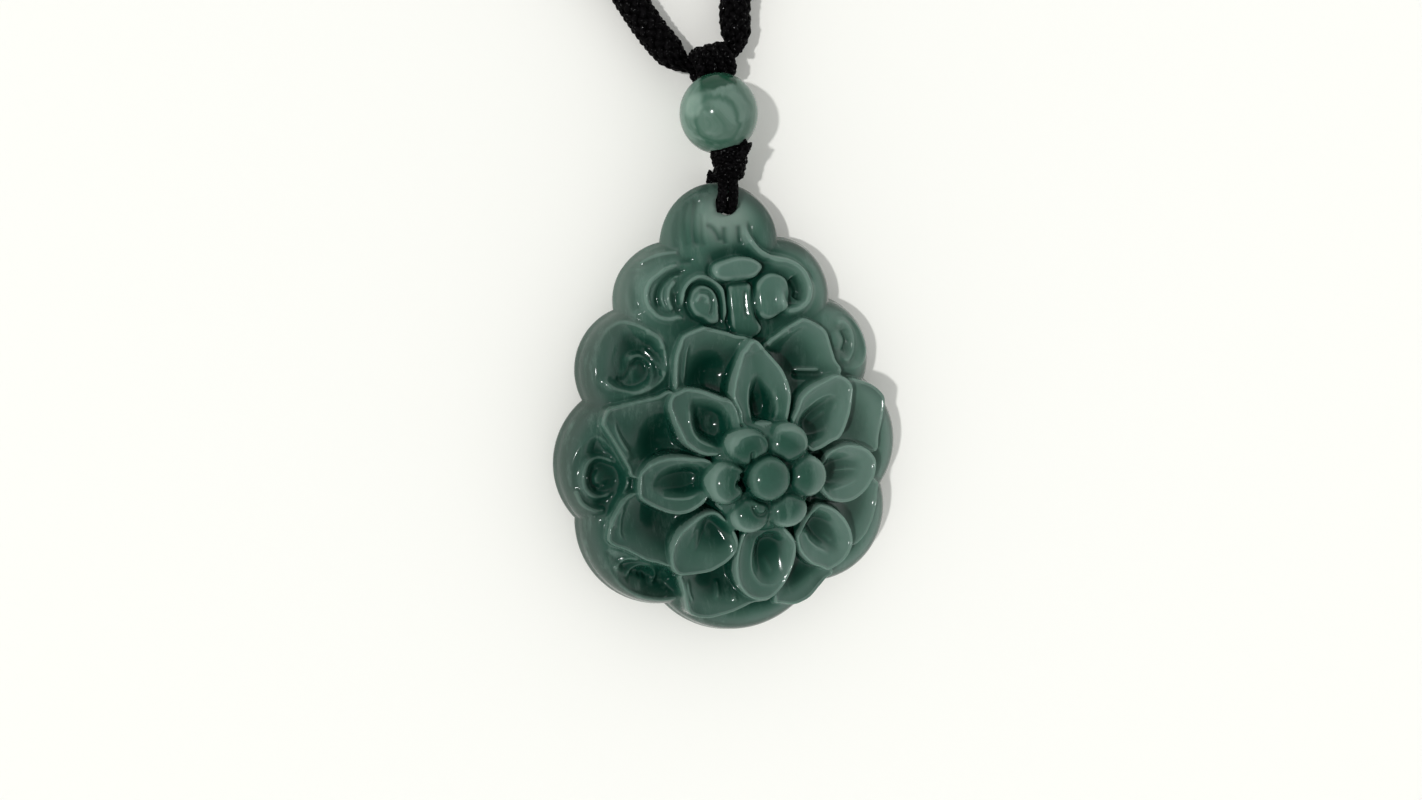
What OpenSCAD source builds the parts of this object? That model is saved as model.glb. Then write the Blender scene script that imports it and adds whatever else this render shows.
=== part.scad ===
// Pendant necklace lying on its back: a carved green stone plaque, a round bead and a black braided
// neck cord. The origin is on the plaque's flat back, midway between its sides and 24.2 mm below its
// top. +Y runs up the plaque to the cord, +X to its right, +Z out of its carved face.

/* [Plaque] */
// Height of the crest of the scroll lobes above the back
lobe_z = 5.4; // [4.5:0.1:6.5]
// Height of the widest line of the edge, where the rounded shoulder starts
edge_z = 2.2; // [1.6:0.1:3]
// Width of the rounded shoulder along the edge
shoulder = 2.8; // [2:0.1:3.5]
// How far the back is rounded up at the edge
back_round = 1.0; // [0.5:0.1:1.4]
// How far the back of the head is ground away, to leave room for the cord
head_lift = 2.0; // [1.9:0.1:2.2]
// How much lower the carved face is around the hole
head_drop = 0.5; // [0.3:0.1:0.7]

/* [Flower] */
// Height of the rims of the outer petals
outer_rim_z = 6.6; // [6:0.1:7.5]
// Height of the rims of the inner petals
inner_rim_z = 8.8; // [8:0.1:9.5]
// Depth of the hollow in each petal
petal_hollow = 1.4; // [0.8:0.1:1.8]
// Radius of the ball in the middle
ball_r = 2.2; // [1.8:0.1:2.4]
// Radius of each ball around it
small_ball_r = 1.8; // [1.6:0.1:1.9]
// Distance from the middle ball to each ball around it
ball_ring_r = 4.2; // [4:0.1:4.5]
// Height of the top of the middle ball
ball_top_z = 12; // [11.5:0.1:12.5]
// Height of the round seat that the balls stand on
seat_z = 8.9; // [8.8:0.1:9.2]
// Radius of that seat
seat_r = 6.6; // [6.4:0.1:7]

/* [Hole] */
// Diameter of the hole for the cord
hole_d = 2.6; // [2.4:0.1:2.8]
// Distance of the hole's centre from the origin
hole_y = 22.1; // [21.8:0.1:22.2]

/* [Bead] */
// Diameter of the round bead
bead_d = 7.8; // [7.4:0.1:7.8]
// Diameter of the hole through the bead
bead_bore_d = 2; // [1.9:0.1:2.4]

/* [Cord] */
// Diameter of the braided neck cord
neck_cord_d = 3.5; // [3.2:0.1:3.8]
// Diameter of the neck cord where the top knot squeezes it
squeezed_d = 2.2; // [2:0.1:2.3]
// Diameter of the thin cord that holds the bead and the plaque
thin_cord_d = 1.5; // [1.3:0.1:1.6]

/* [Knots] */
// Outer diameter of the winding above the bead
top_knot_d = 4.0; // [3.9:0.1:4.2]
// Length of the winding above the bead
top_knot_len = 5.1; // [4.6:0.1:5.4]
// Slant of the winding above the bead
top_knot_slant = 16; // [10:1:20]
// Outer diameter of the winding under the bead at its top
lower_knot_d = 4.1; // [3.8:0.1:4.3]
// Outer diameter of the winding under the bead at its bottom
lower_knot_low_d = 3.2; // [3:0.1:3.6]
// Outer diameter of the closing knot behind the neck
closing_knot_d = 5.6; // [5:0.1:6.5]
// Length of the closing knot
closing_knot_len = 12; // [8:0.5:16]

/* [Hidden] */
$fn = 48;

flower = [0.4, -6];
gap = 0.1;

// Round lobes of the scalloped outline. Columns: centre x, centre y, radius. The lower left one is
// flatter than the one across from it.
OUTLINE_LOBES = [
    [-0.4, 17.75, 6.45],                       // head around the hole
    [-5.8, 12.2, 6.15], [5.8, 12.2, 6.15],     // ribbons
    [-9.75, 5.3, 6.65], [9.75, 5.3, 6.65],     // upper scrolls
    [-10.9, -4.3, 8.4], [10.9, -4.3, 8.4],     // middle scrolls
    [-7.9, -10.4, 9.6], [9.4, -11.7, 8.3],     // lower scrolls
    [0, -13.2, 10.9],                          // bottom
    [0, -4.5, 15.5],                           // body under the flower
    [0, 9, 9.5]                                // body under the crown
];

// Scroll cups in the lobes, right half. Columns: centre x, centre y, radius.
SCROLL_CUPS = [
    [11.6, 5.8, 3.3],
    [15.3, -4.6, 3.3],
    [12.4, -14.4, 3.2]
];
cup_depth = 1.2;

// Petals. Columns: direction in degrees, distance of the tip from the middle, half width.
INNER_PETALS = [
    [85, 13.6, 3.0], [38, 14.3, 3.2], [-2, 14.0, 2.9], [-45, 14.6, 3.1],
    [-85, 13.6, 2.9], [-134, 12.9, 3.2], [180, 12.8, 2.9], [133, 13.0, 3.0]
];
OUTER_PETALS = [
    [64, 16.9, 4.4], [20, 17.2, 4.3], [-24, 16.7, 4.3], [-70, 16.4, 4.2],
    [-109, 16.3, 4.4], [-157, 16.5, 4.5], [155, 16.5, 4.4], [111, 16.5, 4.4]
];
inner_petal_start = 5.2;
outer_petal_start = 8;

// Crown. The two curled ribbon ends, the cap between them and the stem under it.
curl = [3.7, 12.3];
curl_r = 2.1;
cap = [0, 15.3];
cap_half = [3, 1.4];
stem = [0.2, 11.2];
stem_half = [1.5, 2.6];

// Route of the neck cord, from the closing knot down the left side, through the top knot and back
NECK_ROUTE = [
    [-0.2, 291, 2.8], [-7, 291, 2.8], [-16, 290, 2.1], [-27, 287, 1.85], [-50, 276, 1.75],
    [-71, 257, 1.75], [-84, 231, 1.75], [-86, 202, 1.75], [-80, 172, 1.75], [-68, 142, 1.75],
    [-53, 114, 1.75], [-37, 88, 1.75], [-22, 65, 1.75], [-12.6, 51, 1.75], [-8.8, 44.2, 1.75],
    [-6.5, 40.6, 1.75], [-4.8, 38.5, 1.8], [-3.6, 37.3, 1.9], [-2.4, 36.7, 2], [-1.1, 36.8, 2],
    [0.2, 37.1, 2], [1.4, 37.5, 2], [2.4, 38.2, 2], [3, 39.3, 1.9], [3.1, 40.9, 1.8],
    [3.3, 43.6, 1.75], [5.8, 53, 1.75], [14, 69, 1.75], [30, 91, 1.75], [48, 116, 1.75],
    [65, 144, 1.75], [78, 173, 1.75], [85, 203, 1.75], [82, 233, 1.75], [69, 259, 1.75],
    [48, 277, 1.75], [27, 287, 1.85], [16, 290, 2.1], [7, 291, 2.8], [0.2, 291, 2.8]
];
squeezed_stretch = [18, 22];
squeeze_fade = 4;
top_knot_at = [0.2, 37.3, 2.1];
top_knot_stretch = [15, 25];

// Route of the thin cord, from the top knot through bead and lower knot, and round through the hole
HANGING_ROUTE = [
    [-0.1, 35.3, 3.9], [-0.1, 33.5, 3.9], [-0.1, 31.3, 3.9], [-0.1, 29.3, 3.9],
    [0, 27.6, 3.9], [0.2, 26.2, 4.1], [0.3, 25, 4.6], [0.1, 24.2, 5.1], [0, 23.4, 5.5],
    [-0.1, 22.7, 5.4], [0, 22.2, 4.8], [0, 22.1, 4], [0, 22.1, 3], [0, 22.15, 2.2],
    [0, 22.4, 1.5], [0, 22.9, 1.05], [0.1, 23.7, 0.9], [0.2, 25, 0.9], [0.3, 25.8, 1.1]
];
bead_at = [-0.1, 31.35, bead_d/2];
lower_knot_top = [0.8, 27.3, 4.1];
lower_knot_len = 2.6;
lower_knot_slant = -2;
lower_knot_rise = 8;
chamfer = 0.4;
ball_step = 0.9;

// General functions
function unit(v) = v/norm(v);
function ease(low, high, x) = let (t = min(max((x - low)/(high - low), 0), 1)) t*t*(3 - 2*t);
function bump(x, width) = exp(-x*x/(width*width));

// Depth of a point inside the outline: how far it is inside the lobe that holds it best
function depth_inside(p) =
    max([for (l = OUTLINE_LOBES) l[2] - norm([p[0] - l[0], p[1] - l[1]])]);

// Distance from the flower's middle to the outline along a direction
function far_side(centre, r, way) =
    let (
        to = centre - flower,
        along = to*way,
        left = along*along - to*to + r*r
    )
    left < 0 ? 0 : along + sqrt(left);
function reach(angle) =
    max([
        for (l = OUTLINE_LOBES)
            far_side([l[0], l[1]], l[2], [cos(angle), sin(angle)])
    ]);

// The head around the hole: 0 below it, 1 around the hole
function head_share(p) = ease(14, 20.5, p[1]);

// Rounded shoulder that rises from the edge
function shoulder_height(p) =
    let (
        left = 1 - min(max(depth_inside(p), 0), shoulder)/shoulder,
        low = edge_z + 1.3*head_share(p),
        high = lobe_z - head_drop*head_share(p)
    )
    low + (high - low)*sqrt(1 - left*left);

// Each scroll cup is a hollow with a curl left standing in its middle
function cup_change(p, cup) =
    let (d = norm([abs(p[0]) - cup[0], p[1] - cup[1]]))
    cup_depth*(bump(d, 1.4) - 1 + ease(cup[2] - 1.2, cup[2] + 0.4, d));

// The crown's ribbons run in arcs around the curls
function crown_change(p) =
    let (
        d = norm([abs(p[0]), p[1]] - curl),
        side = ease(8, 10.5, p[1])*(1 - ease(4, 6, d)),
        in_cap = norm([(p[0] - cap[0])/cap_half[0], (p[1] - cap[1])/cap_half[1]]),
        in_stem = norm([(p[0] - stem[0])/stem_half[0], (p[1] - stem[1])/stem_half[1]])
    )
    side*(1 - ease(curl_r - 1.4, curl_r + 0.8, d) - 0.9*bump(d - 3.3, 1))
    + 1.3*(1 - ease(0.4, 1.4, in_cap)) + 0.8*(1 - ease(0.3, 1.6, in_stem));

// A petal is a pear-shaped cup. Its distance inside its own edge gives rim and hollow.
function petal_height(p, petal, start, rim_z) =
    let (
        along = [cos(petal[0]), sin(petal[0])],
        half_len = (petal[1] - start)/2,
        u = ((p - flower)*along - (petal[1] + start)/2)/half_len,
        wide = petal[2]*(1 + 0.25*min(max(u, -1), 1)),
        v = ((p - flower)*[-along[1], along[0]])/wide,
        q = norm([u, v]),
        inside = (1 - q)*q/max(norm([u/half_len, v/wide]), 0.001)
    )
    rim_z - petal_hollow*ease(0.6, 2.6, inside) - 5*ease(-0.1, 1.6, -inside);

// Height of the carved face over the back
function face_height(p) =
    max(concat(
        [shoulder_height(p) + crown_change(p) + [for (c = SCROLL_CUPS) cup_change(p, c)]*[1, 1, 1]],
        [for (petal = OUTER_PETALS) petal_height(p, petal, outer_petal_start, outer_rim_z)],
        [for (petal = INNER_PETALS) petal_height(p, petal, inner_petal_start, inner_rim_z)]
    ));

// Height of the back: flat, rounded up along the edge and ground away behind the head
function back_height(p) =
    head_lift*head_share(p)
    + (1 - 0.6*head_share(p))*back_round*pow(1 - min(max(depth_inside(p), 0), 3.2)/3.2, 2) - 0.03;

// The carving is a grid of rings from the balls' seat out to the edge and in again under the back
sectors = 96;
face_rings = 28;
back_rings = 5;
function face_share(k) = 0.65*k/face_rings + 0.35*sin(90*k/face_rings);
function back_share(k) = 1 - pow(k/back_rings, 1.6)*0.7;
function at_share(share, s) =
    let (angle = 360*s/sectors)
    flower + (seat_r + share*(reach(angle) - seat_r))*[cos(angle), sin(angle)];

// Two triangles of the grid, cut along the diagonal that climbs less
function two_triangles(points, a, b, c, d) =
    abs(points[a][2] - points[c][2]) < abs(points[b][2] - points[d][2])
    ? [[b, c, a], [c, d, a]] : [[b, d, a], [c, d, b]];

module relief() {
    seat_points = [for (s = [0 : sectors - 1]) let (p = at_share(0, s)) [p[0], p[1], seat_z]];
    face_points = [
        for (k = [1 : face_rings]) for (s = [0 : sectors - 1])
            let (p = at_share(face_share(k), s)) [p[0], p[1], face_height(p)]
    ];
    back_points = [
        for (k = [0 : back_rings]) for (s = [0 : sectors - 1])
            let (p = at_share(back_share(k), s)) [p[0], p[1], back_height(p)]
    ];
    points = concat(seat_points, face_points, back_points);
    rings = face_rings + back_rings + 2;
    skin = [
        for (k = [0 : rings - 2]) for (s = [0 : sectors - 1])
            let (a = k*sectors + s, b = k*sectors + (s + 1)%sectors)
            each two_triangles(points, a, b, b + sectors, a + sectors)
    ];
    seat = [for (s = [sectors - 1 : -1 : 0]) s];
    back = [for (s = [0 : sectors - 1]) (rings - 1)*sectors + s];
    polyhedron(points, concat(skin, [seat, back]), convexity = 10);
}

module pendant() {
    color("seagreen") difference() {
        union() {
            relief();
            translate([flower[0], flower[1], ball_top_z - ball_r]) sphere(r = ball_r);
            for (k = [0 : 5])
                translate(flower) rotate([0, 0, 60*k + 59])
                    translate([ball_ring_r, 0, ball_top_z - ball_step - small_ball_r])
                        sphere(r = small_ball_r);
        }
        translate([-50, -50, -10]) cube([100, 100, 10]);
        translate([0, hole_y, -1]) cylinder(d = hole_d, h = 12);
        translate([0, hole_y, head_lift - 1])
            cylinder(d1 = hole_d + 2*chamfer + 2, d2 = hole_d, h = 1 + chamfer);
        translate([0, hole_y, lobe_z - head_drop - chamfer])
            cylinder(d1 = hole_d, d2 = hole_d + 2*chamfer + 2, h = 1 + chamfer);
    }
}

module bead() {
    color("darkseagreen") difference() {
        translate(bead_at) sphere(d = bead_d);
        translate(bead_at) rotate([90, 0, 0]) cylinder(d = bead_bore_d, h = bead_d + 2, center = true);
    }
}

// A cord swept along a route: a ring of eight points at each step, closed at both ends
SIDES = 8;
function between(a, b, c, d, t) =
    0.5*((2*b) + (c - a)*t + (2*a - 5*b + 4*c - d)*t*t + (3*b - a - 3*c + d)*t*t*t);
function smooth_route(route, steps) = [
    for (i = [0 : len(route) - 2]) for (j = [0 : steps - 1])
        between(route[max(i - 1, 0)], route[i], route[i + 1], route[min(i + 2, len(route) - 1)], j/steps),
    route[len(route) - 1]
];
module cord(line, radii, across) {
    last = len(line) - 1;
    points = [
        for (i = [0 : last])
            let (
                way = unit(line[min(i + 1, last)] - line[max(i - 1, 0)]),
                side = unit(cross(across, way)),
                up = cross(way, side),
                r = radii[i]/cos(180/SIDES)
            )
            for (k = [0 : SIDES - 1])
                let (a = 360*(k + 0.5)/SIDES) line[i] + r*(cos(a)*side + sin(a)*up)
    ];
    skin = [
        for (i = [0 : last - 1]) for (k = [0 : SIDES - 1])
            let (a = i*SIDES + k, b = i*SIDES + (k + 1)%SIDES)
            each [[a, b, b + SIDES], [a, b + SIDES, a + SIDES]]
    ];
    ends = [
        [for (k = [SIDES - 1 : -1 : 0]) k],
        [for (k = [0 : SIDES - 1]) last*SIDES + k]
    ];
    faces = [for (f = concat(skin, ends)) [for (i = [len(f) - 1 : -1 : 0]) f[i]]];
    polyhedron(points, faces, convexity = 10);
}

module hanging_cord() {
    line = smooth_route(HANGING_ROUTE, 2);
    color("black") cord(line, [for (p = line) thin_cord_d/2], [1, 0, 0]);
}

// Radius of the neck cord at each step: the top knot squeezes it
neck_steps = 2;
function neck_r(i) =
    let (away = max(neck_steps*squeezed_stretch[0] - i, i - neck_steps*squeezed_stretch[1]))
    (squeezed_d + (neck_cord_d - squeezed_d)*ease(0, squeeze_fade, away))/2;
module neck_cord() {
    line = smooth_route(NECK_ROUTE, neck_steps);
    color("black") cord(line, [for (i = [0 : len(line) - 1]) neck_r(i)], [0, 0, 1]);
}

// A winding of thin cord: rounded turns side by side, drawn solid
module winding(d_start, d_end, len, turns) {
    pitch = len/turns;
    rotate_extrude() for (k = [0 : turns - 1]) {
        turn_r = (d_start + (d_end - d_start)*(k + 0.5)/turns)/2;
        translate([turn_r - 0.51*pitch, pitch*(k + 0.5)]) circle(d = 1.02*pitch, $fn = 32);
        translate([0, pitch*k]) square([turn_r - 0.51*pitch, pitch]);
    }
}

module lower_knot() {
    line = smooth_route(HANGING_ROUTE, 2);
    color("black") difference() {
        translate(lower_knot_top) rotate([90 - lower_knot_rise, 0, lower_knot_slant])
            winding(lower_knot_d, lower_knot_low_d, lower_knot_len, 4);
        cord([for (i = [6 : 18]) line[i]], [for (i = [6 : 18]) thin_cord_d/2 + gap], [1, 0, 0]);
    }
}

module top_knot() {
    line = smooth_route(NECK_ROUTE, neck_steps);
    held = [for (i = [neck_steps*top_knot_stretch[0] : neck_steps*top_knot_stretch[1]]) i];
    color("black") difference() {
        translate(top_knot_at) rotate([0, 0, top_knot_slant]) rotate([0, 90, 0])
            translate([0, 0, -top_knot_len/2]) winding(top_knot_d, top_knot_d, top_knot_len, 7);
        cord([for (i = held) line[i]], [for (i = held) neck_r(i) + gap], [0, 0, 1]);
    }
}

module closing_knot() {
    color("black") translate([-closing_knot_len/2, NECK_ROUTE[0][1], closing_knot_d/2])
        rotate([0, 90, 0]) difference() {
            winding(closing_knot_d, closing_knot_d, closing_knot_len, 12);
            translate([0, 0, -1]) cylinder(d = neck_cord_d + 0.6, h = closing_knot_len + 2);
        }
}

pendant();
bead();
hanging_cord();
lower_knot();
top_knot();
neck_cord();
closing_knot();
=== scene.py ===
import math
import bmesh
import bpy
import numpy as np
from mathutils import Matrix, Vector


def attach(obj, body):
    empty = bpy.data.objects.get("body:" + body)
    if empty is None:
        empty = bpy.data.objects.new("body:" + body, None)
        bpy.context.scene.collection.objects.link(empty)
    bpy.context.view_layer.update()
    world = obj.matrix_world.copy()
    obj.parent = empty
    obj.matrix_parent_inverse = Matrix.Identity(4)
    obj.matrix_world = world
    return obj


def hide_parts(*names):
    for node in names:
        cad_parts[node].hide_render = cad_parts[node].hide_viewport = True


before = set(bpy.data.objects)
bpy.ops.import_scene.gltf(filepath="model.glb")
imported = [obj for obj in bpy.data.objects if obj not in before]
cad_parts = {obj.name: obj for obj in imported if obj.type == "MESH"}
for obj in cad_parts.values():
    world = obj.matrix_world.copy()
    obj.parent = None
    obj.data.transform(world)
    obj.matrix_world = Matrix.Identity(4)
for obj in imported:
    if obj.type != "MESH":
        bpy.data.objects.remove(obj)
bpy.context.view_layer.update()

# Camera. The necklace lies on its back and is seen from nearly straight above, close up,
# from the left of the pendant. The focal length is in pixels of a picture 1422 wide.
MM = 0.001
IMAGE_WIDTH = 1422
FOCAL_PIXELS = 1000
SENSOR_MM = 36
YAW, PITCH, ROLL = (math.radians(a) for a in (18, 6, 3.2))
TO_CAMERA = Vector((1.361, -1.084, -110.877))

lens = bpy.data.cameras.new("camera")
lens.sensor_width = SENSOR_MM
lens.lens = SENSOR_MM * FOCAL_PIXELS / IMAGE_WIDTH
lens.clip_start, lens.clip_end = 0.005, 20
turn = Matrix.Rotation(ROLL, 3, "Z") @ Matrix.Rotation(PITCH, 3, "X") @ Matrix.Rotation(YAW, 3, "Y")
camera = bpy.data.objects.new("camera", lens)
camera.matrix_world = Matrix.Translation(-(turn.transposed() @ TO_CAMERA) * MM) @ turn.transposed().to_4x4()
scene = bpy.context.scene
scene.collection.objects.link(camera)
scene.camera = camera
scene.view_settings.view_transform = "Standard"


# Floor and studio light. A plain pale floor, one small lamp that gives the crisp glints and
# the narrow shadow to the right, and soft light all round that is weaker overhead.
FLOOR_HALF = 3
FLOOR_COLOUR = (0.9, 0.89, 0.85, 1)
LAMP_WAY = Vector((-0.62, -0.04, 0.78))
LAMP_STRENGTH = 1.65
LAMP_ANGLE = math.radians(2.5)
SKY_OVERHEAD, SKY_ASIDE, SKY_COLOUR = 0.22, 1.5, (0.98, 1, 0.99, 1)


class Socket:
    """One output of a material's nodes. Sums and products on it add the nodes that do them."""

    def __init__(self, tree, link=None):
        self.tree, self.link = tree, link

    def add(self, kind, settings=None, inputs=None, out=0):
        """Adds a node of any kind: its settings first, then the values or links of its sockets."""
        node = self.tree.nodes.new("ShaderNode" + kind)
        for name, value in (settings or {}).items():
            setattr(node, name, value)
        for name, value in (inputs or {}).items():
            plug_in(self.tree, node.inputs[name], value)
        return Socket(self.tree, node.outputs[out])

    def maths(self, operation, a, b=0):
        return self.add("Math", {"operation": operation}, {0: a, 1: b})

    def __add__(self, other):
        return self.maths("ADD", self, other)

    def __sub__(self, other):
        return self.maths("SUBTRACT", self, other)

    def __rsub__(self, other):
        return self.maths("SUBTRACT", other, self)

    def __mul__(self, other):
        return self.maths("MULTIPLY", self, other)

    __radd__, __rmul__ = __add__, __mul__

    def noise(self, scale, detail, distortion=0, roughness=0.5):
        return self.add("TexNoise", inputs={"Vector": self, "Scale": scale, "Detail": detail,
                                            "Distortion": distortion, "Roughness": roughness})

    def away_from(self, point):
        return self.add("VectorMath", {"operation": "DISTANCE"}, {0: self, 1: point}, out=1)

    def between(self, low, high):
        """0 at low, 1 at high, eased in between."""
        return self.add("MapRange", {"interpolation_type": "SMOOTHSTEP"},
                        {"Value": self, "From Min": low, "From Max": high})

    def blend(self, colour_a, colour_b):
        """Colour a where this is 0, colour b where it is 1."""
        return self.add("Mix", {"data_type": "RGBA"}, {0: self, 6: colour_a, 7: colour_b}, out=2)


def plug_in(tree, socket, value):
    if isinstance(value, Socket):
        tree.links.new(value.link, socket)
    else:
        socket.default_value = value


def new_finish(name, constant, varying):
    """A material: constants go on the shader's own sockets, and varying(start) gives the others."""
    material = bpy.data.materials.new(name)
    material.use_nodes = True
    tree = material.node_tree
    shader = tree.nodes["Principled BSDF"]
    for socket, value in {**constant, **varying(Socket(tree))}.items():
        plug_in(tree, shader.inputs[socket], value)
    return material


def new_piece(name, points, faces, material):
    """A mesh piece from points in millimetres."""
    mesh = bpy.data.meshes.new(name)
    points, faces = np.asarray(points, np.float32) * MM, np.asarray(faces, np.int32)
    mesh.vertices.add(len(points))
    mesh.vertices.foreach_set("co", points.ravel())
    mesh.loops.add(faces.size)
    mesh.loops.foreach_set("vertex_index", faces.ravel())
    mesh.polygons.add(len(faces))
    mesh.polygons.foreach_set("loop_start", np.arange(0, faces.size, faces.shape[1], dtype=np.int32))
    mesh.update(calc_edges=True)
    mesh.validate()
    mesh.polygons.foreach_set("use_smooth", [True] * len(mesh.polygons))
    mesh.materials.append(material)
    piece = bpy.data.objects.new(name, mesh)
    scene.collection.objects.link(piece)
    return piece


def paper(start):
    place = start.add("TexCoord", out=3)
    grain = place.noise(900, 3)
    return {"Normal": grain.add("Bump", inputs={"Height": grain, "Strength": 0.05, "Distance": 0.0002})}


floor_finish = new_finish("pale_paper", {"Base Color": FLOOR_COLOUR, "Roughness": 0.85}, paper)
side = FLOOR_HALF / MM
floor = new_piece("floor", [(-side, -side, 0), (side, -side, 0), (side, side, 0), (-side, side, 0)],
                  [(0, 1, 2, 3)], floor_finish)

world = bpy.data.worlds.new("studio")
world.use_nodes = True
scene.world = world
sky = Socket(world.node_tree)
way_up = sky.add("SeparateXYZ", inputs={0: sky.add("TexCoord")}, out=2)
brightness = SKY_ASIDE + (SKY_OVERHEAD - SKY_ASIDE) * way_up.between(0.25, 0.95)
background = sky.tree.nodes["Background"].inputs
plug_in(sky.tree, background["Strength"], brightness)
background["Color"].default_value = SKY_COLOUR

lamp_light = bpy.data.lights.new("lamp", "SUN")
lamp_light.energy, lamp_light.angle = LAMP_STRENGTH, LAMP_ANGLE
lamp = bpy.data.objects.new("lamp", lamp_light)
lamp.rotation_euler = LAMP_WAY.to_track_quat("Z", "Y").to_euler()
scene.collection.objects.link(lamp)


# Pendant. One plaque of green jade, sawn, then carved with small wheels from the front into a
# flower over scrolls and a crown of ribbons, drilled at the head and polished all over.
# Its face is a height over the back at each place of a fine grid, in millimetres.
CENTRE = np.array([0.2, -1])
FLOWER = np.array([0.4, -6])
GRID_STEP = 0.08
GRID_X, GRID_Y = (-22, 22), (-27, 28)
FACE_CELLS, SIDE_RINGS = 420, 6
BACK_RINGS = (1, 0.985, 0.96, 0.93, 0.89, 0.84, 0.75, 0.6, 0.4, 0.2)
KEPT_TRIANGLES = 185000
EDGE_Z, LOBE_Z, SHOULDER = 2.2, 5.4, 2.8
BACK_ROUND, HEAD_LIFT, HEAD_DROP = 1, 2, 0.5
HEAD_FROM, HEAD_TO, HEAD_EDGE_RISE = 14, 20.5, 1.3
SIDE_BULGE, BACK_SHOULDER = 0.25, 3.2
HOLE_AT, HOLE_R, HOLE_SIDES = (0, 22.1), 1.2, 64
RIDGE_FADE, MOAT_WIDTH = 0.12, 0.5
CUP_WALL, CUP_LIP = 2.2, 0.14
LINE_STEPS, FACE_BLUR = 6, 0.07

# Round lobes of the scalloped outline, from the head down: centre x, centre y, radius
OUTLINE_LOBES = [
    (-0.4, 17.75, 6.45), (-5.8, 12.2, 6.15), (5.8, 12.2, 6.15), (-9.75, 5.3, 6.65), (9.75, 5.3, 6.65),
    (-10.9, -4.3, 8.4), (10.9, -4.3, 8.4), (-7.9, -10.4, 9.6), (9.4, -11.7, 8.3), (0, -13.2, 10.9),
    (0, -4.5, 15.5), (0, 9, 9.5),
]


def ease(x, low, high):
    t = np.clip((x - low) / (high - low), 0, 1)
    return t * t * (3 - 2 * t)


def smooth_line(points, closed=False):
    """A smooth line through given points."""
    points = np.array(points, float)
    count = len(points)
    t = np.linspace(0, 1, LINE_STEPS, endpoint=False)[:, None]
    line = []
    for i in range(count if closed else count - 1):
        ids = [k % count if closed else min(max(k, 0), count - 1) for k in range(i - 1, i + 3)]
        a, b, c, d = points[ids]
        line.append(0.5 * (2 * b + (c - a) * t + (2 * a - 5 * b + 4 * c - d) * t**2
                           + (3 * b - a - 3 * c + d) * t**3))
    line.append(points[:1] if closed else points[-1:])
    return np.vstack(line)


def to_line(places, line):
    """How far each place is from a line, and at what share of its length it is nearest."""
    steps = np.diff(line, axis=0)
    lengths = np.linalg.norm(steps, axis=1)
    offset = places[:, None] - line[None, :-1]
    t = np.clip((offset * steps).sum(2) / np.maximum(lengths**2, 1e-12), 0, 1)
    away = np.linalg.norm(offset - t[..., None] * steps, axis=2)
    best, rows = away.argmin(1), np.arange(len(places))
    travelled = np.concatenate([[0], np.cumsum(lengths)])
    return away[rows, best], (travelled[best] + t[rows, best] * lengths[best]) / travelled[-1]


def inside_by(places, loop):
    """How deep each place is inside a closed line. Outside it is below zero."""
    away = to_line(places, loop)[0]
    a, b = loop[:-1], loop[1:]
    x, y = places[:, :1], places[:, 1:]
    rise = np.where(b[:, 1] == a[:, 1], 1e-9, b[:, 1] - a[:, 1])
    crosses = ((a[:, 1] > y) != (b[:, 1] > y)) & (x < a[:, 0] + (y - a[:, 1]) * (b[:, 0] - a[:, 0]) / rise)
    return np.where(crosses.sum(1) % 2 == 1, away, -away)


def outline_depth(places):
    """How far a place is inside the lobe that holds it best."""
    return np.max([r - np.hypot(places[:, 0] - x, places[:, 1] - y) for x, y, r in OUTLINE_LOBES], 0)


def outline_reach(ways):
    """How far the outline is from the centre along each direction."""
    reaches = []
    for x, y, r in OUTLINE_LOBES:
        to = CENTRE - np.array([x, y])
        along = -(ways @ to)
        left = along**2 - to @ to + r * r
        reaches.append(np.where(left > 0, along + np.sqrt(np.maximum(left, 0)), 0))
    return np.max(reaches, 0)


def head_share(places):
    return ease(places[:, 1], HEAD_FROM, HEAD_TO)


grid_x = np.arange(GRID_X[0], GRID_X[1] + GRID_STEP / 2, GRID_STEP)
grid_y = np.arange(GRID_Y[0], GRID_Y[1] + GRID_STEP / 2, GRID_STEP)
places = np.stack(np.meshgrid(grid_x, grid_y), 2).reshape(-1, 2)


def near(line, margin):
    low, high = line.min(0) - margin, line.max(0) + margin
    return np.flatnonzero(((places > low) & (places < high)).all(1))


def soft_max(a, b, width):
    return np.maximum(a, b) + np.maximum(width - np.abs(a - b), 0) ** 2 / (4 * width)


def faded(share, fade):
    """1 along a line, falling to 0 at both its ends."""
    return ease(share, -0.01, fade) * ease(1 - share, -0.01, fade)


def add_ridge(height, points, half_width, rise):
    """A rounded ridge along a line, or a groove where rise is below zero. It fades at its ends."""
    line = smooth_line(points)
    ids = near(line, 2.5 * half_width)
    away, share = to_line(places[ids], line)
    height[ids] += rise * faded(share, RIDGE_FADE) * np.exp(-(away / half_width) ** 2)


def add_dome(height, points, rise, round_width, moat=0):
    """A raised form with a rounded top and a steep side, and a moat cut round its foot."""
    loop = smooth_line(points, closed=True)
    ids = near(loop, 3)
    depth = inside_by(places[ids], loop)
    height[ids] -= moat * np.exp(-(np.maximum(-depth, 0) / MOAT_WIDTH) ** 2) * ease(depth, -2.5, -1.2)
    swell = np.sqrt(1 - (1 - np.clip(depth / round_width, 0, 1)) ** 2)
    height[ids] += rise * (0.45 * ease(depth, -0.2, 0.15) + 0.55 * swell)


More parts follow.
